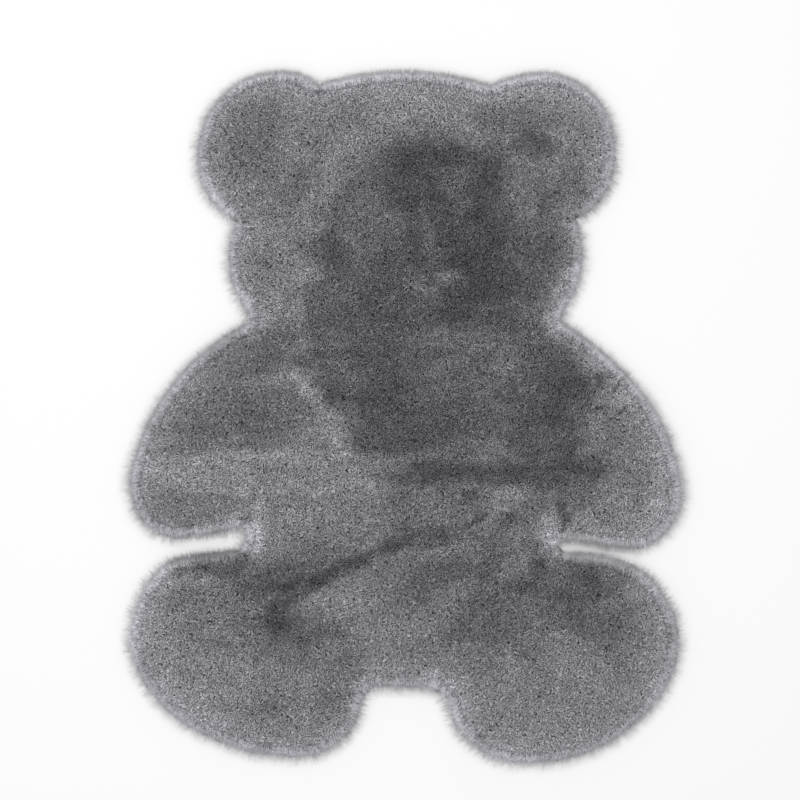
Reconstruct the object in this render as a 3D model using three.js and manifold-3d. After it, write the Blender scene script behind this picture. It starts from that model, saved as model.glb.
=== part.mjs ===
// A bear-shaped rug of short-pile grey plush, lying flat with its pile up.
// It is one cut piece of cloth, so it is one solid: all that lies between the floor and the pile tips.
// Millimetres, +Z up, +Y from the feet to the head; the origin is on the floor at the rug's middle.
import * as THREE from 'three';
import { mergeVertices } from 'three/addons/utils/BufferGeometryUtils.js';
import Module from 'manifold-3d';

// Driving dimensions
const LENGTH = 1000; // soles to ear tips, over the pile
const WIDTH = 800; // across the arms, over the pile
const LEVEL_TOP = 22; // floor to the tips of the pile where it stands level
const RIDGE_TOP = 25; // floor to the tips along the highest ridge
const EDGE_WALL = 5; // height over which the edge fringe hangs straight to the floor
const EDGE_ROLL = 30; // how far in from the edge the pile reaches its full height
const ROLL_FLATS = 4; // flats between the fringe and the top
const CURVE_FLAT = 15; // length of one flat along a round edge
const TOP_GRID = 20; // grid of the uneven top

// The outline, clockwise seen from above, starting where the left ear meets the crown.
// Each row is one arc: the point that it runs to, and how far it bows out from its chord.
// A negative bow curves into the rug, as the ends of the two slits and the crotch do.
const OUTLINE = [
  { x: 122, y: 480, bow: 19 }, // crown
  { x: 204, y: 498, bow: 5 }, // right ear, inner side
  { x: 305, y: 385, bow: 31 }, // right ear, outer side
  { x: 250, y: 284, bow: 19 }, // right ear, under side
  { x: 248, y: 180, bow: 10 }, // right cheek
  { x: 227, y: 140, bow: -1 }, // right side of the neck
  { x: 328, y: 57, bow: 4 }, // right shoulder
  { x: 399, y: -90, bow: 13 }, // right arm
  { x: 376, y: -170, bow: 12 }, // right paw, outer side
  { x: 318, y: -192, bow: 8 }, // right paw, tip
  { x: 232, y: -182, bow: -1 }, // right slit, arm side
  { x: 224, y: -187, bow: -3 }, // right slit, upper half of its closed end
  { x: 232, y: -191, bow: -3 }, // right slit, lower half of its closed end
  { x: 322, y: -208, bow: 5 }, // right slit, leg side
  { x: 378, y: -258, bow: 7 }, // right knee
  { x: 397, y: -330, bow: 6 }, // right leg, outer side
  { x: 338, y: -437, bow: 13 }, // right foot, heel
  { x: 172, y: -500, bow: 19 }, // right sole
  { x: 98, y: -476, bow: 8 }, // right toes
  { x: 61, y: -420, bow: 7 }, // right leg, inner side
  { x: 30, y: -392, bow: -7 }, // right corner of the crotch
  { x: -30, y: -391, bow: 0 }, // crotch
  { x: -61, y: -414, bow: -7 }, // left corner of the crotch
  { x: -88, y: -466, bow: 5 }, // left leg, inner side
  { x: -168, y: -492, bow: 9 }, // left toes
  { x: -290, y: -461, bow: 6 }, // left sole
  { x: -390, y: -365, bow: 13 }, // left foot, heel
  { x: -386, y: -260, bow: 13 }, // left leg, outer side
  { x: -332, y: -200, bow: 9 }, // left knee
  { x: -244, y: -188, bow: 1 }, // left slit, leg side
  { x: -238, y: -163, bow: -5 }, // left slit, closed end
  { x: -272, y: -170, bow: -1 }, // left slit, arm side near its end
  { x: -330, y: -177, bow: 1 }, // left slit, arm side
  { x: -389, y: -142, bow: 10 }, // left paw
  { x: -392, y: -50, bow: 10 }, // left arm, outer side
  { x: -322, y: 70, bow: 8 }, // left arm, upper side
  { x: -229, y: 139, bow: 5 }, // left shoulder
  { x: -250, y: 180, bow: -1 }, // left side of the neck
  { x: -249, y: 281, bow: 10 }, // left cheek
  { x: -303, y: 380, bow: 17 }, // left ear, under side
  { x: -190, y: 499, bow: 33 }, // left ear, outer side
  { x: -124, y: 482, bow: 7 }, // left ear, inner side
];

// Soft creases and ridges that folding left in the pile, each along a straight run.
// A positive rise is a ridge and a negative one a trough; reach is its half width.
const CREASES = [
  { from: [125, -135], to: [-20, -200], rise: -4, reach: 24 }, // hip crease, upper part
  { from: [-20, -200], to: [-190, -275], rise: -6, reach: 28 }, // hip crease, down to the left thigh
  { from: [-155, 75], to: [-85, -35], rise: 3, reach: 24 }, // ridge from the left armpit to the belly
  { from: [-365, -45], to: [-125, -52], rise: -3, reach: 24 }, // fold line over the left arm
  { from: [-350, -100], to: [-110, -95], rise: 2, reach: 34 }, // raised band under that line
  { from: [-10, -78], to: [275, -75], rise: -4, reach: 24 }, // fold line over the belly
  { from: [120, -118], to: [155, -110], rise: 2, reach: 24 }, // tuft above the hip crease
  { from: [-225, 430], to: [-215, 350], rise: -3, reach: 30 }, // hollow of the left ear
  { from: [185, 405], to: [205, 370], rise: -3, reach: 30 }, // hollow of the right ear
  { from: [280, 55], to: [335, 0], rise: -3, reach: 26 }, // trodden spot on the right arm
  { from: [222, -125], to: [222, -165], rise: -7, reach: 22 }, // pile parted above the right slit
  { from: [-232, -130], to: [-232, -215], rise: -6, reach: 22 }, // pile parted round the left slit
  { from: [265, -210], to: [285, -250], rise: -3, reach: 28 }, // hollow of the right knee
];

const wasm = await Module();
wasm.setup();

// A closed three.js geometry as a solid that can be cut.
function solidOf(geometry) {
  const bare = geometry.clone();
  bare.deleteAttribute('normal');
  bare.deleteAttribute('uv');
  const merged = mergeVertices(bare);
  return new wasm.Manifold(new wasm.Mesh({
    numProp: 3,
    vertProperties: merged.attributes.position.array,
    triVerts: Uint32Array.from(merged.index.array),
  }));
}

// A cut solid as a three.js geometry again.
function geometryOf(solid) {
  const { vertProperties, triVerts } = solid.getMesh();
  const geometry = new THREE.BufferGeometry();
  geometry.setAttribute('position', new THREE.BufferAttribute(vertProperties, 3));
  geometry.setIndex(new THREE.BufferAttribute(triVerts, 1));
  geometry.computeVertexNormals();
  return geometry;
}

// Points along an arc from start to end, without its first point.
// The outline runs clockwise, so outward is to the left of the way that an arc runs.
function arcPoints(start, end, bow) {
  if (bow === 0) return [end];
  const chord = new THREE.Vector2().subVectors(end, start);
  const outward = new THREE.Vector2(-chord.y, chord.x).normalize();
  const radius = (chord.lengthSq() / 4 + bow * bow) / (2 * bow);
  const middle = new THREE.Vector2().addVectors(start, end).divideScalar(2);
  const centre = middle.addScaledVector(outward, bow - radius);
  const first = Math.atan2(start.y - centre.y, start.x - centre.x);
  const last = Math.atan2(end.y - centre.y, end.x - centre.x);
  const arc = new THREE.ArcCurve(centre.x, centre.y, Math.abs(radius), first, last, bow > 0);
  const flats = Math.max(2, Math.ceil(arc.getLength() / CURVE_FLAT));
  return arc.getPoints(flats).slice(1);
}

// The whole outline, centred on the origin and brought to the rug's exact length and width.
function outlineShape() {
  const ends = OUTLINE.map(({ x, y }) => new THREE.Vector2(x, y));
  const points = OUTLINE.flatMap(({ bow }, i) => arcPoints(ends.at(i - 1), ends[i], bow));
  const box = new THREE.Box2().setFromPoints(points);
  const size = box.getSize(new THREE.Vector2());
  const centre = box.getCenter(new THREE.Vector2());
  const scale = new THREE.Vector2(WIDTH / size.x, LENGTH / size.y);
  return new THREE.Shape(points.map((point) => point.clone().sub(centre).multiply(scale)));
}

// The cloth cut to the outline, its edge rolling over from the fringe to the full pile.
// The form is made alike above and below the floor, and the floor then cuts it in half.
function rolledOutline() {
  const geometry = new THREE.ExtrudeGeometry(outlineShape(), {
    depth: 2 * EDGE_WALL,
    bevelThickness: RIDGE_TOP - EDGE_WALL,
    bevelSize: EDGE_ROLL,
    bevelOffset: -EDGE_ROLL,
    bevelSegments: ROLL_FLATS,
  });
  return solidOf(geometry.translate(0, 0, -EDGE_WALL));
}

function spaceAboveFloor() {
  const box = new THREE.BoxGeometry(2 * WIDTH, 2 * LENGTH, 2 * RIDGE_TOP);
  return solidOf(box.translate(0, 0, RIDGE_TOP));
}

// How much the creases lift or lower the pile at a place.
function creaseRise(x, y) {
  const place = new THREE.Vector3(x, y, 0);
  const nearest = new THREE.Vector3();
  return CREASES.reduce((sum, { from, to, rise, reach }) => {
    const run = new THREE.Line3(new THREE.Vector3(...from), new THREE.Vector3(...to));
    run.closestPointToPoint(place, true, nearest);
    const away = place.distanceTo(nearest) / reach;
    return sum + rise * Math.exp(-2 * away * away);
  }, 0);
}

// A block that is larger than the rug all round and ends at the uneven top of the pile.
function spaceUnderPileTop() {
  const width = WIDTH + 2 * TOP_GRID;
  const length = LENGTH + 2 * TOP_GRID;
  const columns = Math.round(width / TOP_GRID);
  const rows = Math.round(length / TOP_GRID);
  const block = new THREE.BoxGeometry(width, length, 2 * LEVEL_TOP, columns, rows);
  const vertices = block.attributes.position;
  for (let i = 0; i < vertices.count; i += 1) {
    if (vertices.getZ(i) > 0) {
      vertices.setZ(i, LEVEL_TOP + creaseRise(vertices.getX(i), vertices.getY(i)));
    }
  }
  return solidOf(block);
}

function makePelt() {
  const solid = rolledOutline().intersect(spaceAboveFloor()).intersect(spaceUnderPileTop());
  const plush = new THREE.MeshStandardMaterial({ color: 0x6e6d71, roughness: 0.95, metalness: 0 });
  const pelt = new THREE.Mesh(geometryOf(solid), plush);
  pelt.name = 'pelt';
  return pelt;
}

const rug = new THREE.Group();
rug.add(makePelt());

export default rug;
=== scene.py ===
from math import pi, radians

import bpy
import numpy as np
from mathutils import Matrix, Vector
from mathutils.bvhtree import BVHTree


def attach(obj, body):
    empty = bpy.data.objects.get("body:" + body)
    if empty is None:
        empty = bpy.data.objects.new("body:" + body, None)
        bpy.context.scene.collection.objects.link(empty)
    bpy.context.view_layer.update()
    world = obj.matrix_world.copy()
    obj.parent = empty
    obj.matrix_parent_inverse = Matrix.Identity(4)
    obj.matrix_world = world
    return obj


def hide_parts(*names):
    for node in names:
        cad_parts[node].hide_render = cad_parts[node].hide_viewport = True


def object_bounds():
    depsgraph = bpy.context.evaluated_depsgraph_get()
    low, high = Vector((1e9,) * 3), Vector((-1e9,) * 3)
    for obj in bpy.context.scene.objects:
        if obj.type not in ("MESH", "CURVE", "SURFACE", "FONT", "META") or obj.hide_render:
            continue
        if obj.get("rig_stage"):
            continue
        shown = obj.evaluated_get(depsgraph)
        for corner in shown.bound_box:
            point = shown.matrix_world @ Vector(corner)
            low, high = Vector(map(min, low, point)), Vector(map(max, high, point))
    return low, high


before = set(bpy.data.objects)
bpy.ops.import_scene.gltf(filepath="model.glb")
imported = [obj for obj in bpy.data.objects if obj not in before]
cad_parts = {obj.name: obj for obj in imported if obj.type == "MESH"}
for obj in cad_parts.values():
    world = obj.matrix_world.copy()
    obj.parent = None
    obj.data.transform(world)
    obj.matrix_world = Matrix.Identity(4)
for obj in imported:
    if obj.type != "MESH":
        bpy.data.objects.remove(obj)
rug_low, rug_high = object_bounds()


# ---------------------------------------------------------------- the backing
# The ground cloth of the plush, a close warp knit of grey polyester that holds the pile by its
# roots. It is cut to the bear in one piece, and ends short of the tips that hang over its edge.
MM = 0.001
MERGE = 0.01
BACKING_THICK = 1.6
BACKING_INSET = 13.5
FACES_DOWN = -0.99
ON_THE_FLOOR = 0.1
STRAIGHT_TURN = 0.5
WALE = 1.3
COURSE = 0.9
WALE_SHARE = 0.3
COURSE_SHARE = 0.2
FUZZ_SHARE = 0.25
FUZZ_SCALE = 900.0
WORN_SCALE = 9.0
LIGHT_BY_HEIGHT = 0.8
LIGHT_BY_WEAR = 0.3
LIGHT_DROP = 0.1
KNIT_RELIEF = 0.4
KNIT_DARK = (0.10, 0.098, 0.104, 1)
KNIT_LIGHT = (0.27, 0.265, 0.28, 1)


def pick(obj):
    """Selects one object alone and makes it the active one."""
    bpy.ops.object.select_all(action="DESELECT")
    obj.select_set(True)
    bpy.context.view_layer.objects.active = obj


def copy_of(obj, name):
    """A copy of an object with a mesh of its own, bare of materials and of its place in the frame."""
    twin = obj.copy()
    twin.data = obj.data.copy()
    twin.name = twin.data.name = name
    twin.parent = None
    twin.hide_render = twin.hide_viewport = False
    for key in [key for key in twin.keys() if key.startswith("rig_")]:
        del twin[key]
    twin.data.materials.clear()
    bpy.context.scene.collection.objects.link(twin)
    return twin


def edit(obj, kind):
    """Opens an object in edit mode for points, edges or faces."""
    pick(obj)
    bpy.ops.object.mode_set(mode="EDIT")
    bpy.ops.mesh.select_mode(type=kind)


def select_faces(obj, test):
    """Selects, from object mode, the faces that pass a test and no others."""
    for face in obj.data.polygons:
        face.select = bool(test(face))


def belongs(obj, material):
    """Gives a finished piece its finish and its place on the rug."""
    obj.data.materials.append(material)
    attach(obj, "root")
    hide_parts("pelt")


class Shade:
    """A value in a material. Arithmetic on it adds the Math nodes that work it out."""

    def __init__(self, socket):
        self.socket = socket

    @staticmethod
    def node(tree, kind, settings=None, values=None, out=0):
        """Adds a node with its settings, then the values or links of its sockets."""
        made = tree.nodes.new(kind)
        for key, value in (settings or {}).items():
            setattr(made, key, value)
        for key, value in (values or {}).items():
            if isinstance(value, Shade):
                tree.links.new(value.socket, made.inputs[key])
            else:
                made.inputs[key].default_value = value
        return Shade(made.outputs[out])

    def maths(self, operation, *terms):
        tree = self.socket.id_data
        return Shade.node(tree, "ShaderNodeMath", {"operation": operation}, dict(enumerate(terms)))

    def __add__(self, other):
        return self.maths("ADD", self, other)

    def __sub__(self, other):
        return self.maths("SUBTRACT", self, other)

    def __rsub__(self, other):
        return self.maths("SUBTRACT", other, self)

    def __mul__(self, other):
        return self.maths("MULTIPLY", self, other)

    def __pow__(self, other):
        return self.maths("POWER", self, other)

    def sine(self):
        return self.maths("SINE", self)

    def at_least(self, low):
        return self.maths("MAXIMUM", self, low)

    def at_most(self, high):
        return self.maths("MINIMUM", self, high)

    __radd__ = __add__
    __rmul__ = __mul__


def finish_of(name, **plain):
    """A new material with plain values set on its shader, with its node tree and its shader."""
    material = bpy.data.materials.new(name)
    material.use_nodes = True
    shader = material.node_tree.nodes["Principled BSDF"]
    for key, value in plain.items():
        shader.inputs[key.replace("_", " ")].default_value = value
    return material, material.node_tree, shader


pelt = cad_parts["pelt"]
backing = copy_of(pelt, "backing")
edit(backing, "FACE")
bpy.ops.mesh.select_all(action="SELECT")
bpy.ops.mesh.remove_doubles(threshold=MERGE * MM)
bpy.ops.object.mode_set(mode="OBJECT")
select_faces(backing, lambda face: face.normal.z > FACES_DOWN or face.center.z > ON_THE_FLOOR * MM)
bpy.ops.object.mode_set(mode="EDIT")
bpy.ops.mesh.delete(type="FACE")
bpy.ops.mesh.select_all(action="SELECT")
bpy.ops.mesh.dissolve_limited(angle_limit=radians(STRAIGHT_TURN))
bpy.ops.object.mode_set(mode="OBJECT")
rim = np.array([backing.data.vertices[v].co[:2] for v in backing.data.polygons[0].vertices]) / MM
bpy.ops.object.mode_set(mode="EDIT")
bpy.ops.mesh.select_all(action="SELECT")
bpy.ops.mesh.inset(thickness=BACKING_INSET * MM)
bpy.ops.mesh.select_all(action="INVERT")
bpy.ops.mesh.delete(type="FACE")
bpy.ops.object.mode_set(mode="OBJECT")
pick(backing)
bpy.ops.object.modifier_add(type="SOLIDIFY")
backing.modifiers[-1].thickness = BACKING_THICK * MM
backing.modifiers[-1].offset = -1
bpy.ops.object.modifier_apply(modifier=backing.modifiers[-1].name)

knit, tree, shader = finish_of("knit", Roughness=0.9, Specular_IOR_Level=0.2)
place = Shade.node(tree, "ShaderNodeTexCoord", out=3)
x_of = Shade.node(tree, "ShaderNodeSeparateXYZ", values={0: place})
y_of = Shade(x_of.socket.node.outputs[1])
wales = (x_of * (2 * pi / (WALE * MM))).sine() * WALE_SHARE
courses = (y_of * (2 * pi / (COURSE * MM))).sine() * COURSE_SHARE
fuzz = Shade.node(tree, "ShaderNodeTexNoise", values={"Vector": place, "Scale": FUZZ_SCALE, "Detail": 3.0})
worn = Shade.node(tree, "ShaderNodeTexNoise", values={"Vector": place, "Scale": WORN_SCALE, "Detail": 2.0})
height = (wales + courses + 0.5) * (1 - FUZZ_SHARE) + fuzz * FUZZ_SHARE
light = height * LIGHT_BY_HEIGHT + worn * LIGHT_BY_WEAR - LIGHT_DROP
colour = Shade.node(
    tree, "ShaderNodeMix", {"data_type": "RGBA"}, {0: light, 6: KNIT_DARK, 7: KNIT_LIGHT}, out=2,
)
tree.links.new(colour.socket, shader.inputs["Base Color"])
relief = {"Strength": 0.6, "Distance": KNIT_RELIEF * MM, "Height": height}
bump = Shade.node(tree, "ShaderNodeBump", values=relief)
tree.links.new(bump.socket, shader.inputs["Normal"])
belongs(backing, knit)


# ---------------------------------------------------------------- the undercoat
# Short crimped fibre so dense that it looks like one soft mat between the longer strands. It
# stands on the backing and follows its folds. Its tone carries painted light and shade in patches,
# for how the brushed pile takes the light, and is painted paler at the rim.
UNDERCOAT_SHARE = 0.77
UNDERCOAT_LOW = 0.03
UNDERCOAT_INSET = 3.5
UNDERCOAT_BAND = 24
UNDERCOAT_CLEAR = 0.2
ON_THE_OUTLINE = 0.5
FACES_ASIDE = 0.05
UNDERCOAT_CONTRAST = 14.0
UNDERCOAT_RELIEF = 1.2
DARKEST = 0.02
PALEST = 0.96
MAP_SPREAD = (0.05, 0.95)
FIELD_TONE = 0.47
RIM_PAINTED_LIGHT = 0.135
RIM_FADE = 19
HEM = 13
HEM_PAINTED_LIGHT = 0.24
STREAK_TONE = 0.03
STREAK_SQUEEZE = (1, 5)
CHEST_MIDDLE = -20
CHEST_HALF = 160
MOTTLE_FINE = 0.013
MOTTLE_WIDE = 0.02
PATCH_SQUARENESS = 2.6
PATCH_WOBBLE = 5
PATCH_RAGGED_WIDE = 6
PATCH_RAGGED_FINE = 4
PATCH_SMALL = 20
CURL = 0.010
CURL_SCALE = 130.0
FIBRE_GRAIN = (960.0, 640.0, 760.0)
TONE_CURVE = 2.2
GRAIN_FADE = 1.45
FIBRE_GAIN = 1.3
FIBRE_DULLEST = 0.2
FIBRE_BRIGHTEST = 2.4
PLUSH_TINT = (0.985, 0.965, 1.03, 1)
# Every patch has its middle and half-size in millimetres, its turn in degrees, how much lighter or
# darker it is, and how soft its edge is. Patches marked as joined run into one another. The patches
# are painted light and shade, for the light that the brushed pile catches or loses and for shade
# along creases.
LIGHT_AND_SHADE_PATCHES = [
    # the face, brushed up and in painted shade, with painted light on each cheek and over the nose
    dict(at=(44, 280), half=(164, 130), turn=0, change=-0.11, soft=0.3, joined=True),
    dict(at=(133, 165), half=(82, 62), turn=0, change=-0.11, soft=0.4, joined=True),
    dict(at=(45, 365), half=(56, 28), turn=0, change=-0.05, soft=0.7),
    dict(at=(-175, 305), half=(60, 26), turn=0, change=-0.035, soft=0.8),
    dict(at=(166, 335), half=(23, 46), turn=0, change=0.075, soft=0.7),
    dict(at=(0, 335), half=(38, 36), turn=0, change=-0.04, soft=0.7),
    dict(at=(104, 322), half=(20, 40), turn=0, change=-0.06, soft=0.6),
    dict(at=(92, 350), half=(14, 14), turn=0, change=0.06, soft=0.9),
    dict(at=(124, 350), half=(12, 24), turn=0, change=-0.05, soft=0.9),
    dict(at=(30, 355), half=(22, 20), turn=0, change=0.04, soft=0.9),
    dict(at=(98, 235), half=(50, 60), turn=0, change=-0.06, soft=0.6),
    dict(at=(72, 197), half=(22, 7), turn=0, change=0.05, soft=0.9),
    dict(at=(60, 228), half=(14, 16), turn=0, change=0.03, soft=0.9),
    dict(at=(70, 347), half=(20, 16), turn=0, change=0.04, soft=0.8),
    dict(at=(94, 402), half=(28, 14), turn=-30, change=0.07, soft=0.9),
    dict(at=(-15, 408), half=(36, 22), turn=0, change=0.045, soft=0.9),
    dict(at=(-104, 228), half=(20, 34), turn=5, change=-0.05, soft=0.7),
    dict(at=(-88, 205), half=(24, 60), turn=0, change=0.035, soft=0.9),
    dict(at=(-62, 275), half=(34, 50), turn=0, change=0.045, soft=0.7),
    dict(at=(-72, 345), half=(50, 50), turn=0, change=0.03, soft=0.9),
    dict(at=(26, 288), half=(22, 20), turn=0, change=0.02, soft=0.8),
    dict(at=(36, 252), half=(36, 6), turn=-68, change=0.04, soft=0.9),
    dict(at=(12, 262), half=(14, 36), turn=0, change=-0.04, soft=0.8),
    dict(at=(64, 203), half=(20, 9), turn=0, change=0.10, soft=0.9),
    dict(at=(22, 182), half=(30, 10), turn=-28, change=0.05, soft=0.8),
    dict(at=(68, 171), half=(20, 11), turn=0, change=-0.04, soft=0.9),
    dict(at=(-25, 168), half=(14, 12), turn=20, change=0.045, soft=0.8),
    dict(at=(10, 225), half=(60, 12), turn=0, change=-0.03, soft=0.8),
    dict(at=(-208, 205), half=(18, 40), turn=0, change=-0.04, soft=0.8),
    dict(at=(216, 240), half=(15, 48), turn=0, change=-0.06, soft=0.8),
    dict(at=(85, 146), half=(96, 10), turn=2, change=-0.045, soft=0.8),
    dict(at=(-145, 208), half=(20, 14), turn=0, change=0.06, soft=0.9),
    dict(at=(-142, 345), half=(20, 24), turn=10, change=-0.04, soft=0.8),
    dict(at=(-195, 230), half=(34, 90), turn=0, change=0.02, soft=0.8),
    dict(at=(-82, 372), half=(46, 24), turn=40, change=0.06, soft=0.8),
    dict(at=(-128, 300), half=(22, 30), turn=0, change=0.06, soft=0.8),
    dict(at=(-100, 330), half=(22, 16), turn=0, change=0.045, soft=0.9),
    dict(at=(-15, 281), half=(15, 13), turn=0, change=0.05, soft=0.9),
    dict(at=(50, 303), half=(18, 24), turn=0, change=-0.05, soft=0.9),
    dict(at=(-141, 231), half=(13, 22), turn=0, change=-0.05, soft=0.8),
    dict(at=(-22, 165), half=(40, 22), turn=0, change=-0.04, soft=0.9),
    dict(at=(125, 180), half=(46, 17), turn=6, change=-0.035, soft=0.9),
    # the ears and the crown
    dict(at=(-222, 395), half=(46, 50), turn=0, change=-0.06, soft=0.8),
    dict(at=(-264, 322), half=(14, 18), turn=0, change=-0.07, soft=0.9),
    dict(at=(-276, 392), half=(10, 16), turn=0, change=-0.05, soft=0.9),
    dict(at=(158, 428), half=(50, 22), turn=0, change=-0.05, soft=0.7),
    dict(at=(-100, 480), half=(24, 13), turn=0, change=0.10, soft=0.9),
    dict(at=(118, 482), half=(26, 12), turn=0, change=0.07, soft=0.9),
    dict(at=(10, 444), half=(46, 20), turn=0, change=0.05, soft=0.9),
    dict(at=(182, 390), half=(36, 18), turn=-8, change=-0.11, soft=0.8),
    dict(at=(232, 328), half=(26, 34), turn=0, change=-0.085, soft=0.8),
    dict(at=(205, 312), half=(14, 14), turn=0, change=-0.06, soft=0.9),
    dict(at=(190, 402), half=(16, 12), turn=0, change=-0.05, soft=0.9),
    dict(at=(222, 400), half=(20, 16), turn=0, change=0.05, soft=0.9),
    dict(at=(-270, 313), half=(54, 14), turn=-52, change=0.16, soft=0.8),
    dict(at=(-233, 154), half=(36, 14), turn=-65, change=0.24, soft=0.8),
    dict(at=(224, 146), half=(26, 17), turn=60, change=0.22, soft=0.8),
    dict(at=(244, 192), half=(42, 12), turn=78, change=0.15, soft=0.8),
    dict(at=(284, 82), half=(36, 10), turn=-48, change=0.08, soft=0.8),
    # the chest and belly in painted shade, and painted light on the ridge down its left side
    dict(at=(62, 20), half=(202, 116), turn=0, change=-0.115, soft=0.2, joined=True),
    dict(at=(-70, 140), half=(76, 70), turn=0, change=-0.11, soft=0.3, joined=True),
    dict(at=(186, 122), half=(20, 12), turn=0, change=-0.05, soft=0.8),
    dict(at=(-30, 50), half=(34, 66), turn=0, change=-0.025, soft=0.8),
    dict(at=(95, 112), half=(95, 11), turn=0, change=0.055, soft=0.7),
    dict(at=(110, 40), half=(16, 24), turn=0, change=0.03, soft=0.9),
    dict(at=(160, 60), half=(20, 24), turn=0, change=0.03, soft=0.9),
    dict(at=(62, 78), half=(60, 10), turn=28, change=0.03, soft=0.8),
    dict(at=(164, 80), half=(44, 16), turn=0, change=0.06, soft=0.8),
    dict(at=(190, 37), half=(24, 10), turn=0, change=0.05, soft=0.9),
    dict(at=(112, 38), half=(22, 9), turn=12, change=0.04, soft=0.9),
    dict(at=(205, 120), half=(18, 9), turn=0, change=-0.05, soft=0.9),
    dict(at=(180, 152), half=(34, 15), turn=0, change=0.04, soft=0.9),
    dict(at=(95, 45), half=(80, 44), turn=0, change=0.02, soft=0.8),
    dict(at=(62, -58), half=(110, 9), turn=0, change=0.06, soft=0.9),
    dict(at=(85, -40), half=(50, 10), turn=0, change=0.04, soft=0.9),
    dict(at=(138, -96), half=(20, 10), turn=0, change=0.045, soft=0.9),
    dict(at=(-42, -66), half=(34, 18), turn=0, change=0.06, soft=0.7),
    dict(at=(215, -60), half=(18, 9), turn=0, change=0.06, soft=0.8),
    dict(at=(130, -79), half=(150, 15), turn=0, change=-0.05, soft=0.4),
    dict(at=(-122, 18), half=(76, 12), turn=-53, change=0.13, soft=0.5),
    dict(at=(-136, -8), half=(18, 18), turn=0, change=0.05, soft=0.9),
    dict(at=(-108, -32), half=(38, 13), turn=-58, change=0.12, soft=0.6),
    dict(at=(-98, 66), half=(44, 19), turn=-10, change=0.045, soft=0.8),
    dict(at=(-118, 115), half=(54, 12), turn=0, change=0.05, soft=0.9),
    dict(at=(-84, 4), half=(30, 9), turn=-42, change=0.05, soft=0.8),
    dict(at=(-138, 78), half=(28, 15), turn=0, change=-0.08, soft=0.8),
    dict(at=(-160, 62), half=(14, 22), turn=0, change=-0.04, soft=0.9),
    dict(at=(100, -136), half=(130, 34), turn=0, change=-0.055, soft=0.5),
    dict(at=(95, -155), half=(50, 7), turn=0, change=0.05, soft=0.9),
    dict(at=(92, -192), half=(20, 14), turn=0, change=0.05, soft=0.9),
    dict(at=(72, -112), half=(12, 9), turn=0, change=-0.05, soft=0.9),
    dict(at=(84, -98), half=(14, 8), turn=10, change=0.055, soft=0.9),
    dict(at=(144, -117), half=(22, 14), turn=10, change=0.08, soft=0.8),
    dict(at=(202, -146), half=(14, 14), turn=0, change=0.05, soft=0.9),
    dict(at=(95, -109), half=(10, 4), turn=0, change=-0.09, soft=0.8),
    dict(at=(103, -147), half=(21, 3), turn=32, change=-0.13, soft=0.8),
    dict(at=(149, -144), half=(8, 9), turn=0, change=-0.08, soft=0.8),
    dict(at=(0, -96), half=(44, 8), turn=0, change=-0.055, soft=0.8),
    dict(at=(190, -94), half=(44, 8), turn=0, change=-0.065, soft=0.8),
    # the arms
    dict(at=(-238, 2), half=(104, 46), turn=0, change=-0.06, soft=0.5),
    dict(at=(-220, 94), half=(78, 34), turn=28, change=-0.09, soft=0.7),
    dict(at=(-320, 62), half=(40, 18), turn=15, change=-0.03, soft=0.8),
    dict(at=(-285, -46), half=(38, 11), turn=0, change=-0.045, soft=0.8),
    dict(at=(-200, -50), half=(46, 9), turn=0, change=0.045, soft=0.8),
    dict(at=(-295, 14), half=(44, 16), turn=10, change=0.035, soft=0.9),
    dict(at=(-195, -80), half=(190, 32), turn=0, change=0.05, soft=0.16),
    dict(at=(-120, -140), half=(90, 30), turn=0, change=0.02, soft=0.7),
    dict(at=(-66, -105), half=(24, 12), turn=0, change=0.035, soft=0.9),
    dict(at=(-160, -52), half=(62, 10), turn=0, change=0.025, soft=0.9),
    dict(at=(-310, -132), half=(66, 20), turn=5, change=-0.045, soft=0.8),
    dict(at=(192, 40), half=(44, 60), turn=0, change=-0.04, soft=0.6),
    dict(at=(240, -84), half=(48, 26), turn=0, change=-0.085, soft=1.0),
    dict(at=(272, -65), half=(30, 18), turn=0, change=-0.09, soft=1.0),
    dict(at=(238, -118), half=(20, 12), turn=0, change=-0.05, soft=0.9),
    dict(at=(297, -22), half=(16, 28), turn=0, change=-0.06, soft=0.8),
    dict(at=(277, 54), half=(8, 14), turn=0, change=-0.12, soft=0.8),
    dict(at=(302, 46), half=(14, 2), turn=62, change=-0.22, soft=0.7),
    dict(at=(276, 12), half=(6, 3), turn=0, change=-0.16, soft=0.8),
    dict(at=(310, 8), half=(7, 2), turn=45, change=-0.20, soft=0.7),
    dict(at=(336, -7), half=(8, 2), turn=42, change=-0.22, soft=0.7),
    dict(at=(272, 58), half=(28, 40), turn=0, change=-0.05, soft=0.7),
    dict(at=(276, 82), half=(26, 16), turn=0, change=0.06, soft=0.9),
    dict(at=(342, 2), half=(10, 16), turn=0, change=0.06, soft=0.9),
    dict(at=(256, 10), half=(24, 18), turn=0, change=0.03, soft=0.9),
    dict(at=(227, -140), half=(8, 22), turn=4, change=-0.20, soft=0.4),
    dict(at=(370, -100), half=(24, 50), turn=0, change=0.045, soft=0.8),
    dict(at=(305, -150), half=(56, 34), turn=0, change=0.02, soft=0.7),
    # painted light on the fur at the gaps between arm and leg, along the inside of the legs,
    # and at the feet
    dict(at=(-262, -165), half=(60, 12), turn=2, change=0.10, soft=0.8),
    dict(at=(-270, -168), half=(40, 6), turn=0, change=0.10, soft=0.9),
    dict(at=(-296, -150), half=(24, 7), turn=0, change=-0.06, soft=0.9),
    dict(at=(-243, -168), half=(20, 14), turn=0, change=0.09, soft=0.9),
    dict(at=(-219, -168), half=(13, 28), turn=0, change=0.06, soft=0.6),
    dict(at=(-227, -143), half=(6, 5), turn=0, change=-0.14, soft=0.6),
    dict(at=(-227, -199), half=(5, 6), turn=0, change=-0.09, soft=0.6),
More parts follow.
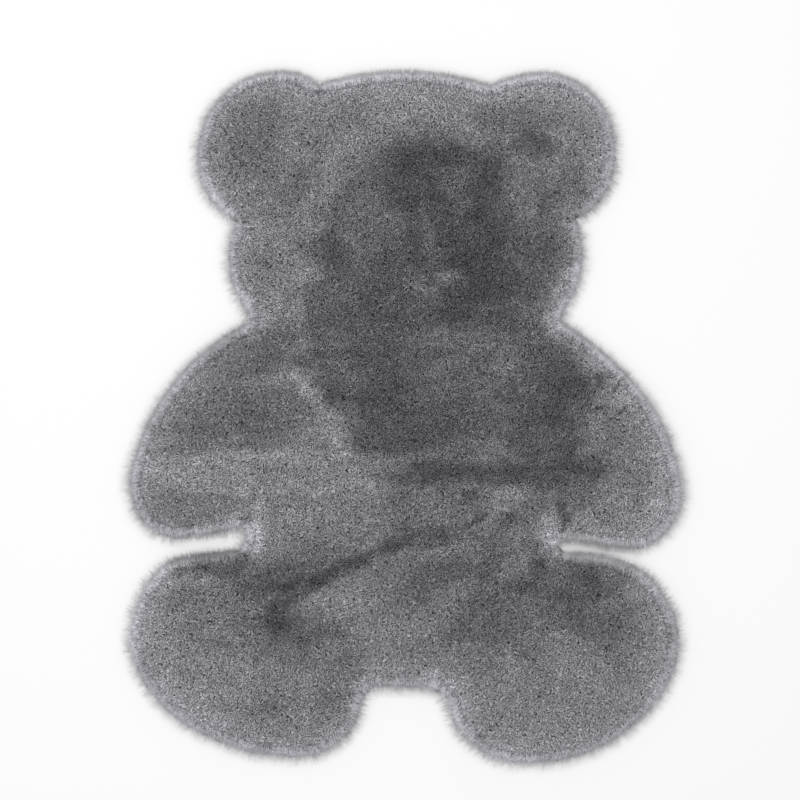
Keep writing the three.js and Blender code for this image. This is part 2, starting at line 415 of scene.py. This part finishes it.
    dict(at=(-340, -160), half=(44, 10), turn=-20, change=0.08, soft=0.8),
    dict(at=(236, -184), half=(34, 13), turn=0, change=0.16, soft=0.8),
    dict(at=(292, -177), half=(28, 9), turn=0, change=-0.08, soft=0.9),
    dict(at=(222, -177), half=(13, 13), turn=0, change=0.07, soft=0.9),
    dict(at=(206, -160), half=(15, 30), turn=8, change=0.07, soft=0.7),
    dict(at=(335, -217), half=(54, 11), turn=-28, change=0.15, soft=0.8),
    dict(at=(352, -232), half=(40, 12), turn=-42, change=0.06, soft=0.9),
    dict(at=(-68, -410), half=(40, 10), turn=72, change=0.13, soft=0.8),
    dict(at=(58, -398), half=(34, 11), turn=-62, change=0.12, soft=0.8),
    dict(at=(-180, -474), half=(110, 8), turn=-4, change=0.07, soft=0.8),
    dict(at=(-322, -430), half=(40, 9), turn=-28, change=0.06, soft=0.8),
    dict(at=(122, -482), half=(50, 9), turn=-6, change=0.13, soft=0.8),
    dict(at=(80, -452), half=(30, 14), turn=-40, change=0.05, soft=0.9),
    dict(at=(352, -398), half=(9, 30), turn=-12, change=0.06, soft=0.8),
    dict(at=(360, -232), half=(12, 24), turn=30, change=0.05, soft=0.9),
    # painted shade at the hips, along the crease that runs down to the left leg
    dict(at=(10, -173), half=(62, 17), turn=12, change=-0.09, soft=0.7),
    dict(at=(-34, -192), half=(50, 12), turn=22, change=-0.075, soft=0.7),
    dict(at=(-95, -221), half=(44, 10), turn=25, change=-0.09, soft=0.5),
    dict(at=(-140, -238), half=(30, 13), turn=20, change=-0.06, soft=0.8),
    dict(at=(-172, -224), half=(34, 17), turn=18, change=-0.045, soft=0.9),
    dict(at=(-138, -182), half=(32, 17), turn=0, change=-0.03, soft=0.9),
    dict(at=(-86, -184), half=(18, 10), turn=0, change=-0.03, soft=0.9),
    dict(at=(-165, -245), half=(14, 10), turn=0, change=0.05, soft=0.9),
    dict(at=(-176, -277), half=(14, 8), turn=20, change=0.05, soft=0.9),
    dict(at=(-175, -262), half=(26, 14), turn=42, change=-0.07, soft=0.8),
    dict(at=(-188, -290), half=(22, 20), turn=0, change=-0.06, soft=0.9),
    dict(at=(-164, -298), half=(24, 14), turn=0, change=-0.04, soft=0.9),
    dict(at=(-172, -222), half=(76, 24), turn=12, change=-0.05, soft=0.9),
    dict(at=(-290, -208), half=(52, 16), turn=4, change=-0.16, soft=0.9),
    dict(at=(-304, -208), half=(30, 9), turn=0, change=-0.06, soft=0.9),
    dict(at=(-350, -220), half=(36, 28), turn=30, change=0.08, soft=0.8),
    dict(at=(-350, -318), half=(36, 36), turn=0, change=0.035, soft=0.9),
    dict(at=(-386, -318), half=(13, 34), turn=0, change=0.09, soft=0.8),
    dict(at=(-210, -262), half=(50, 46), turn=0, change=-0.035, soft=0.9),
    dict(at=(-230, -228), half=(16, 30), turn=0, change=-0.05, soft=0.9),
    dict(at=(-345, -250), half=(36, 22), turn=0, change=-0.04, soft=0.9),
    dict(at=(34, -227), half=(50, 20), turn=28, change=-0.055, soft=0.8),
    dict(at=(0, -235), half=(64, 44), turn=0, change=-0.045, soft=0.9),
    dict(at=(5, -265), half=(28, 11), turn=0, change=-0.035, soft=0.9),
    dict(at=(115, -257), half=(24, 10), turn=0, change=-0.045, soft=0.9),
    dict(at=(130, -200), half=(30, 9), turn=0, change=-0.04, soft=0.9),
    dict(at=(64, -176), half=(15, 11), turn=0, change=-0.035, soft=0.9),
    dict(at=(48, -237), half=(14, 9), turn=0, change=0.03, soft=0.9),
    dict(at=(35, -155), half=(14, 14), turn=0, change=0.04, soft=0.9),
    dict(at=(110, -195), half=(44, 28), turn=0, change=-0.045, soft=0.8),
    dict(at=(-190, -256), half=(30, 16), turn=0, change=-0.04, soft=0.8),
    dict(at=(158, -217), half=(20, 16), turn=0, change=0.08, soft=0.8),
    dict(at=(254, -219), half=(22, 14), turn=0, change=-0.06, soft=0.8),
    dict(at=(192, -198), half=(16, 15), turn=0, change=-0.08, soft=0.9),
    dict(at=(262, -240), half=(14, 12), turn=0, change=-0.05, soft=0.9),
    dict(at=(268, -155), half=(30, 7), turn=0, change=-0.05, soft=0.9),
    dict(at=(181, -184), half=(18, 13), turn=0, change=-0.05, soft=0.8),
    dict(at=(130, -282), half=(76, 36), turn=12, change=-0.06, soft=0.7),
    dict(at=(238, -233), half=(100, 27), turn=-2, change=-0.12, soft=0.6),
    # the legs, and painted light on the pale seat between them
    dict(at=(212, -276), half=(24, 24), turn=0, change=-0.08, soft=0.9),
    dict(at=(238, -288), half=(15, 25), turn=0, change=-0.11, soft=0.9),
    dict(at=(200, -216), half=(16, 18), turn=0, change=-0.04, soft=0.9),
    dict(at=(300, -285), half=(44, 30), turn=0, change=-0.035, soft=0.8),
    dict(at=(288, -306), half=(30, 34), turn=0, change=-0.05, soft=0.9),
    dict(at=(-160, -300), half=(64, 26), turn=0, change=-0.065, soft=0.8),
    dict(at=(-178, -335), half=(50, 20), turn=0, change=-0.04, soft=0.9),
    dict(at=(-262, -354), half=(60, 20), turn=0, change=0.045, soft=0.9),
    dict(at=(-155, -430), half=(18, 26), turn=0, change=0.05, soft=0.9),
    dict(at=(-305, -405), half=(80, 34), turn=-12, change=0.06, soft=0.8),
    dict(at=(-205, -415), half=(50, 11), turn=3, change=-0.04, soft=0.8),
    dict(at=(-78, -262), half=(92, 22), turn=21, change=0.035, soft=0.7),
    dict(at=(-90, -372), half=(34, 34), turn=0, change=-0.035, soft=0.8),
    dict(at=(-90, -416), half=(28, 20), turn=0, change=-0.045, soft=0.9),
    dict(at=(150, -420), half=(100, 60), turn=0, change=0.02, soft=0.8),
    dict(at=(188, -365), half=(20, 34), turn=0, change=-0.05, soft=0.9),
    dict(at=(168, -322), half=(24, 18), turn=0, change=-0.035, soft=0.9),
    dict(at=(236, -390), half=(56, 46), turn=0, change=0.035, soft=0.9),
    dict(at=(-10, -302), half=(54, 16), turn=0, change=0.03, soft=0.9),
]


def edge_of(points):
    """How far each point lies inside the outline, and the unit way out to it."""
    far = np.full(len(points), 1e9)
    way = np.zeros((len(points), 2))
    for a, b in zip(rim, np.roll(rim, -1, axis=0)):
        run = b - a
        along = np.clip(((points - a) @ run) / (run @ run), 0, 1)
        gap = a + along[:, None] * run - points
        apart = np.hypot(gap[:, 0], gap[:, 1])
        nearer = apart < far
        far[nearer] = apart[nearer]
        way[nearer] = gap[nearer] / np.maximum(apart[nearer, None], 1e-6)
    return far, way


def smooth(share):
    """A share from 0 to 1, eased at both ends."""
    share = np.clip(share, 0, 1)
    return share * share * (3 - 2 * share)


def soft_noise(points, size, seed):
    """Smooth noise from -1 to 1 whose swells are about size apart."""
    cells = 256
    table = np.random.default_rng(seed).uniform(-1, 1, (cells, cells))
    cell = np.floor(points / size).astype(int)
    u, v = smooth(points / size - cell).T
    i, j = (cell % cells).T
    right, up = (i + 1) % cells, (j + 1) % cells
    low = table[i, j] * (1 - u) + table[right, j] * u
    high = table[i, up] * (1 - u) + table[right, up] * u
    return low * (1 - v) + high * v


def painted_light_and_shade(points):
    """Painted light and shade at each point, for how the brushed pile takes the light and for the shade
    along folds.
    """
    wobble = np.column_stack([soft_noise(points, size=12, seed=21), soft_noise(points, size=12, seed=22)])
    strayed = points + wobble * PATCH_WOBBLE
    ragged = PATCH_RAGGED_WIDE * soft_noise(points, size=45, seed=23)
    ragged += PATCH_RAGGED_FINE * soft_noise(points, size=17, seed=24)
    change = np.zeros(len(points))
    joined = np.zeros(len(points))
    for patch in LIGHT_AND_SHADE_PATCHES:
        turned = radians(patch["turn"])
        dx, dy = (strayed - patch["at"]).T
        along = (dx * np.cos(turned) + dy * np.sin(turned)) / patch["half"][0]
        across = (dy * np.cos(turned) - dx * np.sin(turned)) / patch["half"][1]
        out = (abs(along) ** PATCH_SQUARENESS + abs(across) ** PATCH_SQUARENESS) ** (1 / PATCH_SQUARENESS)
        out += ragged / max(min(patch["half"]), PATCH_SMALL)
        here = patch["change"] * smooth((1 + patch["soft"] / 2 - out) / patch["soft"])
        if patch.get("joined"):
            joined = np.minimum(joined, here)
        else:
            change += here
    return change + joined


def tone_and_painted_light(points, far):
    """The tone of the pile: painted light and shade for its brushing, a rim painted paler as painted
    light, streaks on the chest, and faint swells.
    """
    tone = FIELD_TONE + painted_light_and_shade(points)
    # painted light: paler towards the rim, and most in the hem, as if lit through the thin edge
    tone += RIM_PAINTED_LIGHT * np.exp(-np.maximum(far - HEM, 0) / RIM_FADE) + HEM_PAINTED_LIGHT * np.clip(1 - far / HEM, 0, 1)
    on_chest = abs(points[:, 1] - CHEST_MIDDLE) < CHEST_HALF
    tone += STREAK_TONE * soft_noise(points * STREAK_SQUEEZE, size=40, seed=31) * on_chest
    fine, wide = soft_noise(points, size=14, seed=32), soft_noise(points, size=38, seed=33)
    return tone + (MOTTLE_FINE * fine + MOTTLE_WIDE * wide)


undercoat = copy_of(pelt, "undercoat")
edit(undercoat, "VERT")
bpy.ops.mesh.select_all(action="SELECT")
bpy.ops.mesh.remove_doubles(threshold=MERGE * MM)
bpy.ops.mesh.subdivide(number_cuts=2)
bpy.ops.object.mode_set(mode="OBJECT")
spots = np.array([point.co[:2] for point in undercoat.data.vertices]) / MM
outward = np.array([point.normal[:2] for point in undercoat.data.vertices])
far, way = edge_of(spots)
level = np.hypot(outward[:, 0], outward[:, 1])
# a point on the outline itself has no way out to it, and takes the way that its side faces
on_edge = (far < ON_THE_OUTLINE) & (level > FACES_ASIDE)
way[on_edge] = outward[on_edge] / level[on_edge, None]
inset = UNDERCOAT_INSET * (1 + soft_noise(spots, size=3.5, seed=41))
inset *= np.clip(1 - far / UNDERCOAT_BAND, 0, 1)
spots -= way * inset[:, None]
share = UNDERCOAT_LOW + (UNDERCOAT_SHARE - UNDERCOAT_LOW) * smooth(far / UNDERCOAT_BAND)
lift = UNDERCOAT_CLEAR + (BACKING_THICK - 2 * UNDERCOAT_CLEAR) * share / UNDERCOAT_SHARE
for point, (x, y), part, base in zip(undercoat.data.vertices, spots * MM, share, lift * MM):
    point.co = (x, y, base + point.co.z * part)


def fibre_grain(tree):
    """Noise drawn out into short curling streaks, like fine crimped fibre."""
    place = Shade.node(tree, "ShaderNodeTexCoord", out=3)
    swirl = Shade.node(
        tree, "ShaderNodeTexNoise", values={"Vector": place, "Scale": CURL_SCALE, "Detail": 0.0}, out=1,
    )
    bent = Shade.node(
        tree, "ShaderNodeVectorMath", {"operation": "MULTIPLY_ADD"}, {0: swirl, 1: (CURL,) * 3, 2: place},
    )
    drawn = Shade.node(tree, "ShaderNodeVectorMath", {"operation": "MULTIPLY"}, {0: bent, 1: FIBRE_GRAIN})
    return Shade.node(tree, "ShaderNodeTexNoise", values={"Vector": drawn, "Scale": 1.0, "Detail": 1.0})


def fibre_light(tone_of, grain, contrast):
    """How light the fibre is: its tone, broken up by the grain, which is fainter where it is pale."""
    broken = (grain - 0.5) * contrast * (GRAIN_FADE - tone_of) + FIBRE_GAIN
    return tone_of ** TONE_CURVE * broken.at_least(FIBRE_DULLEST).at_most(FIBRE_BRIGHTEST)


underfur, tree, shader = finish_of("underfur", Roughness=0.95, Specular_IOR_Level=0.1)
spread = Shade.node(tree, "ShaderNodeUVMap", {"uv_map": "OFBake"})
tone_of = Shade.node(tree, "ShaderNodeSeparateXYZ", values={0: spread})
crimp = fibre_grain(tree)
light = fibre_light(tone_of, crimp, UNDERCOAT_CONTRAST)
colour = Shade.node(
    tree, "ShaderNodeMix", {"data_type": "RGBA"}, {0: light, 6: (0, 0, 0, 1), 7: PLUSH_TINT}, out=2,
)
tree.links.new(colour.socket, shader.inputs["Base Color"])
relief = {"Strength": 0.9, "Distance": UNDERCOAT_RELIEF * MM, "Height": crimp}
bump = Shade.node(tree, "ShaderNodeBump", values=relief)
tree.links.new(bump.socket, shader.inputs["Normal"])
corners = np.array([corner.vertex_index for corner in undercoat.data.loops])
far, way = edge_of(spots)
# the mat's map holds its tone across, and chance alone upwards, so that each face has a width on it
up = np.random.default_rng(5).uniform(*MAP_SPREAD, len(spots))
spread = np.column_stack([np.clip(tone_and_painted_light(spots, far), DARKEST, PALEST), up])
layer = undercoat.data.uv_layers.new(name="OFBake")
layer.uv.foreach_set("vector", spread[corners].ravel())
belongs(undercoat, underfur)


# ---------------------------------------------------------------- the pile
# Locks of fine grey acrylic, standing close together with their tips drawn to points. Brushing,
# folding and treading have laid them one way or another. The lighter and darker patches that such
# plush shows in the light are painted into the strands' tone as painted light and shade, and the
# strands are painted paler near the rim. Each strand is rooted in the backing, and leans out at the rim.
STRAND_STEP = 1.76
STRAND_HALF = 0.48
ROOT_DEPTH = 0.4
SHOULDER_RISE = 0.78
SHOULDER_SHIFT = 0.3
MAP_HALF = 1 / 1024
MAP_FOOT = 0.02
MAP_RISE = 0.96
SHORTEST_SHARE = 0.87
STUB_BELOW = 5
STUB_HEIGHTS = (4, 9)
NAP = (-0.8, -1.0)
NAP_LEAN = 2.6
LOCK = 4.6
LOCK_STRAY = 0.9
LOCK_LEAN = 2.1
LOCK_TONE = 0.025
STRAND_STRAY = 1.2
STRAND_TONE = 0.2
STRAND_TONE_MOST = 0.25
GATHER = 0.16
ROOT_MARGIN = 0.7
ROOTS_IN = BACKING_INSET + ROOT_MARGIN
RIM_BAND = 42
RIM_EASE = 1.5
RIM_EVENS = 0.5
RIM_LEAN = 6.5
RIM_LEAN_RANGE = (0.2, 1.8)
PILE_RIM_PAINTED_LIGHT = 0.12
RIM_HALF = 0.25
PILE_CONTRAST = 11.5
ROOT_PAINTED_SHADE = 0.7
HEAD_ABOVE = 139
LEGS_BELOW = -190
ARMS_PAST = 225
HIGH_ABOVE = 100
chance = np.random.default_rng(7)


def inside(points):
    """Which points lie inside the rug's outline."""
    odd = np.zeros(len(points), bool)
    for (ax, ay), (bx, by) in zip(rim, np.roll(rim, -1, axis=0)):
        if ay != by:
            spans = (ay > points[:, 1]) != (by > points[:, 1])
            odd ^= spans & (points[:, 0] < ax + (points[:, 1] - ay) * (bx - ax) / (by - ay))
    return odd


def height_over(piece, points):
    """Height of a piece's top over each point, and 0 past its edge."""
    corners = [point.co / MM for point in piece.data.vertices]
    surface = BVHTree.FromPolygons(corners, [list(face.vertices) for face in piece.data.polygons])
    heights = np.zeros(len(points))
    for k, (x, y) in enumerate(points):
        hit = surface.ray_cast(Vector((x, y, HIGH_ABOVE)), Vector((0, 0, -1)))[0]
        heights[k] = hit.z if hit else 0
    return heights


def locks(points, size):
    """The middle of the lock that each strand belongs to, and two chance values for that lock."""
    cells = 512
    stray = np.random.default_rng(11).uniform(-0.5, 0.5, (cells, cells, 4))
    cell = np.floor(points / size).astype(int)
    nearest = np.full(len(points), 1e9)
    middle = np.zeros_like(points)
    values = np.zeros_like(points)
    for i in (-1, 0, 1):
        for j in (-1, 0, 1):
            near_by = cell + (i, j)
            own = stray[near_by[:, 0] % cells, near_by[:, 1] % cells]
            centre = (near_by + 0.5 + LOCK_STRAY * own[:, :2]) * size
            apart = ((centre - points) ** 2).sum(1)
            nearer = apart < nearest
            nearest[nearer] = apart[nearer]
            middle[nearer] = centre[nearer]
            values[nearer] = own[nearer, 2:]
    return middle, values


# one strand, a narrow leaf from its root at 0, by a shoulder on each side, to its tip at 1
bpy.ops.object.select_all(action="DESELECT")
bpy.ops.mesh.primitive_cone_add(vertices=3, radius1=1, radius2=0, depth=1, location=(0, 0, 0.5))
strand = bpy.context.object
strand.name = "strand"
bpy.ops.object.transform_apply(location=True)
for point in strand.data.vertices:
    if point.co.z > 0.5:
        point.co = (0, 1, 1)
    elif abs(point.co.x) > 0.5:
        point.co = (1 if point.co.x > 0 else -1, SHOULDER_SHIFT, 0.5)
    else:
        point.co = (0, 0, 0)
edit(strand, "FACE")
bpy.ops.mesh.select_all(action="SELECT")
bpy.ops.mesh.normals_make_consistent(inside=False)
bpy.ops.object.mode_set(mode="OBJECT")
strand_points = np.array([point.co[:] for point in strand.data.vertices])
strand_faces = np.array([face.vertices[:] for face in strand.data.polygons])
bpy.ops.object.delete()


def grow(name, roots, tips, low, heights, rise, half, tone, finish):
    """A piece of pile in one mesh: the strand copied from every root to its tip. Its shoulders
    stand at a share of the rise from the root to the tip. Its map holds each strand's tone across,
    and the share of its height upwards."""
    count, corners = len(roots), len(strand_points)
    run = tips - roots
    way = run / np.maximum(np.hypot(run[:, 0], run[:, 1]), 1e-6)[:, None]
    across = np.column_stack([way[:, 1], -way[:, 0]]) * np.reshape(half, (-1, 1))
    sx, sy, sz = strand_points.T
    climb = np.where(sz == 0.5, rise, sz)
    points = np.empty((count, corners, 3))
    points[:, :, :2] = roots[:, None] + across[:, None] * sx[:, None] + run[:, None] * sy[:, None]
    points[:, :, 2] = np.reshape(low, (-1, 1)) + (heights - low)[:, None] * climb
    faces = (np.arange(count)[:, None, None] * corners + strand_faces).ravel()
    mesh = bpy.data.meshes.new(name)
    mesh.vertices.add(count * corners)
    mesh.vertices.foreach_set("co", (points * MM).ravel())
    mesh.loops.add(len(faces))
    mesh.loops.foreach_set("vertex_index", faces)
    mesh.polygons.add(len(faces) // 3)
    mesh.polygons.foreach_set("loop_start", np.arange(0, len(faces), 3))
    mesh.update()
    spread = np.empty((count, corners, 2))
    spread[:, :, 0] = np.clip(tone, DARKEST, PALEST)[:, None] + sx * MAP_HALF
    spread[:, :, 1] = MAP_FOOT + MAP_RISE * sz
    layer = mesh.uv_layers.new(name="OFBake")
    layer.uv.foreach_set("vector", spread[:, strand_faces.ravel()].ravel())
    piece = bpy.data.objects.new(name, mesh)
    bpy.context.scene.collection.objects.link(piece)
    belongs(piece, finish)
    return piece


def fur(name, root_painted_shade, tip_tint, contrast):
    """The finish of fur: each strand has its own tone, with painted shade darker at the root, up to a tint
    at the tip.
    """
    material, tree, shader = finish_of(name, Roughness=0.8, Specular_IOR_Level=0.2, Sheen_Weight=0.3)
    spread = Shade.node(tree, "ShaderNodeUVMap", {"uv_map": "OFBake"})
    tone_of = Shade.node(tree, "ShaderNodeSeparateXYZ", values={0: spread})
    along = Shade(tone_of.socket.node.outputs[1])
    # painted shade: each strand darker towards its root, deep in the pile
    light = fibre_light(tone_of, fibre_grain(tree), contrast) * (along * (1 - root_painted_shade) + root_painted_shade)
    tint = Shade.node(
        tree, "ShaderNodeMix", {"data_type": "RGBA"}, {0: along ** 2, 6: PLUSH_TINT, 7: tip_tint}, out=2,
    )
    colour = Shade.node(
        tree, "ShaderNodeMix", {"data_type": "RGBA"}, {0: light, 6: (0, 0, 0, 1), 7: tint}, out=2,
    )
    tree.links.new(colour.socket, shader.inputs["Base Color"])
    return material


plush = fur("plush", ROOT_PAINTED_SHADE, PLUSH_TINT, PILE_CONTRAST)
west, south = [round(side / MM) for side in rug_low[:2]]
east, north = [round(side / MM) for side in rug_high[:2]]
grid = np.stack(np.meshgrid(np.arange(west, east, STRAND_STEP), np.arange(south, north, STRAND_STEP)), -1)
roots = grid.reshape(-1, 2)
roots = roots + chance.uniform(-0.5, 0.5, roots.shape) * STRAND_STEP
roots = roots[inside(roots)]
far, way = edge_of(roots)
held = far > ROOTS_IN
roots, far, way = roots[held], far[held], way[held]

near = np.clip(1 - (far - ROOTS_IN) / RIM_BAND, 0, 1) ** RIM_EASE
middle, own = locks(roots, LOCK)
swells = np.column_stack([soft_noise(roots, size=80, seed=1), soft_noise(roots, size=80, seed=2)])
turns = own[:, 1] * 2 * pi
lean = (swells + NAP) * NAP_LEAN + np.column_stack([np.cos(turns), np.sin(turns)]) * LOCK_LEAN
out = near * RIM_LEAN * chance.uniform(*RIM_LEAN_RANGE, len(roots))
lean = lean * (1 - near)[:, None] + way * out[:, None]
tips = roots + lean + (middle - roots) * GATHER + chance.normal(0, STRAND_STRAY, roots.shape)
heights = height_over(pelt, tips) * chance.uniform(SHORTEST_SHARE, 1.0, len(roots))
heights = np.where(heights < STUB_BELOW, chance.uniform(*STUB_HEIGHTS, len(roots)), heights)

# painted light: strands are paler near the rim, on top of the painted light and shade of their tone
tone = tone_and_painted_light(roots, far) + PILE_RIM_PAINTED_LIGHT * near + LOCK_TONE * own[:, 0]
tone += np.minimum(chance.normal(0, STRAND_TONE, len(roots)), STRAND_TONE_MOST) * (1 - RIM_EVENS * near)
half = STRAND_HALF + RIM_HALF * near

x, y = roots.T
head = y > HEAD_ABOVE
legs = y < LEGS_BELOW
arms = ~head & ~legs & (abs(x) > ARMS_PAST)
torso = ~head & ~legs & ~arms
areas = {
    "pile_head_left": head & (x < 0),
    "pile_head_right": head & (x >= 0),
    "pile_arms": arms,
    "pile_torso": torso,
    "pile_leg_left": legs & (x < 0),
    "pile_leg_right": legs & (x >= 0),
}
low = BACKING_THICK - ROOT_DEPTH
pile = [
    grow(name, roots[a], tips[a], low, heights[a], SHOULDER_RISE, half[a], tone[a], plush)
    for name, a in areas.items()
]


# ---------------------------------------------------------------- the rim
# Finer hair all round the edge, laid outwards over the cut of the backing, and painted paler as
# painted light on the thin edge. No two hairs reach equally far, so the rug has no hard outline and
# melts into the floor.
HAIRS = 38000
HAIR_BAND = 9
HAIR_CROWDING = 1.7
HAIR_RISE = 0.15
HAIR_STRAY = 3.5
HAIR_PAINTED_LIGHT = 0.29
HAIR_TONE_SPREAD = 0.06
HAIR_CONTRAST = 1.2
HAIR_ROOT_PAINTED_SHADE = 0.8
HAIR_TIP = (0.98, 0.965, 1, 1)
RIM_SPLIT = -20
REACH_MEAN = 6.2
REACH_MOST = 19
REACH_BACK = 5.2
# The half-width of a hair, and the height it falls to, by how far past the edge it reaches.
WIDTH_BY_REACH = ((-6, 2, 10), (0.36, 0.2, 0.1))
FALL_BY_REACH = ((-6, 0, 13), (6, 3.5, 1.5))
FALL_RANGE = (0.6, 1.2)
FALL_LEAST = 1
# Along the top of the rug the hair is brushed back towards one reach, and stands higher.
TRIMMED = 0.6
TRIMMED_REACH = 3
RAISED = 3.4
RAISED_WAY = (0.5, 1)
# Hair that faces another side across less than one of these widths keeps to its own third of
# the gap, and stands higher for each width that it is under.
GAPS = (22, 16, 11, 7)
GAP_CLEAR = 0.5
GAP_RAISED = 3.5
# Places on the edge, their half-size, and how much further the hair reaches round them.
REACHES = [
    # where the two sides of the right hip's gap all but meet
    ((288, -194), (20, 12), 5.5),
    # inside the two legs and between them, along the feet, round the arms, and by the left ear
    ((-50, -425), (16, 38), -1.5),
    ((38, -430), (16, 38), 2.5),
    ((-5, -390), (36, 9), 2),
    ((-240, -482), (80, 14), 2.5),
    ((320, -455), (80, 40), 2.5),
    ((398, -110), (16, 90), 2.5),
    ((-400, -95), (14, 60), 2.5),
    ((-325, 380), (16, 70), 2),
    # under the right arm, then at the mouth and at the inner end of the left hip's gap
    ((330, -178), (50, 10), 2.5),
    ((-302, -200), (22, 8), 4),
    ((-262, -160), (30, 8), 2),
    ((-246, -200), (22, 10), -5),
]
hair = fur("rim_hair", HAIR_ROOT_PAINTED_SHADE, HAIR_TIP, HAIR_CONTRAST)

run = np.roll(rim, -1, axis=0) - rim
length = np.hypot(run[:, 0], run[:, 1])
ends = np.cumsum(length)
spot = chance.uniform(0, ends[-1], 2 * HAIRS)
side = np.searchsorted(ends, spot)
outline = rim[side] + run[side] * ((spot - ends[side] + length[side]) / length[side])[:, None]
inward = np.column_stack([-run[side, 1], run[side, 0]]) / length[side][:, None]
turning = (rim[:, 0] * np.roll(rim[:, 1], -1) - np.roll(rim[:, 0], -1) * rim[:, 1]).sum()
inward *= np.sign(turning)
deep = ROOTS_IN + HAIR_BAND * chance.uniform(0, 1, (2 * HAIRS, 1)) ** HAIR_CROWDING
roots = outline + inward * deep
roots = roots[inside(roots)]
far, way = edge_of(roots)
held = (far > ROOTS_IN) & (far < ROOTS_IN + HAIR_BAND)
roots, far, way = roots[held][:HAIRS], far[held][:HAIRS], way[held][:HAIRS]

edge = roots + way * far[:, None]
further = sum(more * np.exp(-(((edge - at) / size) ** 2).sum(1)) for at, size, more in REACHES)
past = np.minimum(chance.exponential(REACH_MEAN, len(roots)), REACH_MOST) - REACH_BACK + further
past += TRIMMED * (TRIMMED_REACH - past) * np.clip(way[:, 1], 0, 1) ** 2
raised = RAISED * np.clip(way @ RAISED_WAY, 0, 1)
for gap in GAPS:
    facing = inside(roots + way * (far + gap)[:, None])
    past[facing] = np.minimum(past[facing], (gap / 3 - GAP_CLEAR + further)[facing])
    raised[facing] += GAP_RAISED
fine = np.interp(past, *WIDTH_BY_REACH)
aside = np.column_stack([-way[:, 1], way[:, 0]]) * chance.normal(0, HAIR_STRAY, (len(roots), 1))
tips = roots + way * (far + past)[:, None] + aside
heights = np.interp(past, *FALL_BY_REACH) * chance.uniform(*FALL_RANGE, len(roots)) + raised
start = np.maximum(height_over(undercoat, roots), heights + FALL_LEAST)
# painted light: the hair is made paler than the pile it grows among
tone = tone_and_painted_light(roots, far) + HAIR_PAINTED_LIGHT + chance.normal(0, HAIR_TONE_SPREAD, len(roots))
for name, a in {"rim_upper": roots[:, 1] > RIM_SPLIT, "rim_lower": roots[:, 1] <= RIM_SPLIT}.items():
    pile.append(grow(name, roots[a], tips[a], start[a], heights[a], HAIR_RISE, fine[a], tone[a], hair))


# ---------------------------------------------------------------- the floor, the light and the camera
# A plain pale floor under a high soft lamp to the upper left, with even light all round. The faint
# light of the floor itself shows where the floor is seen, and isn't thrown on the rug.
FLOOR_SIZE = 20
FLOOR_DROP = 0.5
FLOOR_COLOUR = (0.86, 0.86, 0.86, 1)
FLOOR_LIFT = 0.14
SKY_LIGHT = 0.68
LAMP_AT = (-0.5, 0.7, 3.2)
LAMP_SIZE = 2.2
LAMP_WATTS = 38.5
LENS = 85
SENSOR = 36
VIEW_SIDE = 1.1445
VIEW_MIDDLE = (-8.6, 25)
VIEW_LEVEL = 0.02

bpy.ops.object.select_all(action="DESELECT")
bpy.ops.mesh.primitive_plane_add(size=FLOOR_SIZE, location=(0, 0, -FLOOR_DROP * MM))
floor = bpy.context.object
floor.name = "floor"
pale, tree, shader = finish_of("floor", Base_Color=FLOOR_COLOUR, Roughness=0.9, Emission_Color=(1, 1, 1, 1))
seen = ray = Shade.node(tree, "ShaderNodeLightPath")
for kind in ("Is Glossy Ray", "Is Transmission Ray"):
    seen = seen + Shade(ray.socket.node.outputs[kind])
tree.links.new((seen * FLOOR_LIFT).socket, shader.inputs["Emission Strength"])
floor.data.materials.append(pale)
floor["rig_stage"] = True

sky = bpy.data.worlds.new("studio")
bpy.context.scene.world = sky
sky.use_nodes = True
sky.node_tree.nodes["Background"].inputs["Color"].default_value = (1, 1, 1, 1)
sky.node_tree.nodes["Background"].inputs["Strength"].default_value = SKY_LIGHT

bpy.ops.object.light_add(type="AREA", location=LAMP_AT)
lamp = bpy.context.object
lamp.name = "softbox"
lamp.data.shape = "DISK"
lamp.data.size = LAMP_SIZE
lamp.data.energy = LAMP_WATTS
lamp.rotation_euler = (-Vector(LAMP_AT)).to_track_quat("-Z", "Y").to_euler()

middle_x, middle_y = VIEW_MIDDLE
camera_height = VIEW_SIDE * LENS / SENSOR + VIEW_LEVEL
bpy.ops.object.camera_add(location=(middle_x * MM, middle_y * MM, camera_height), rotation=(0, 0, 0))
camera = bpy.context.object
camera.name = "camera"
camera.data.lens = LENS
camera.data.sensor_width = SENSOR
bpy.context.scene.camera = camera
bpy.context.scene.view_settings.view_transform = "Standard"

low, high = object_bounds()
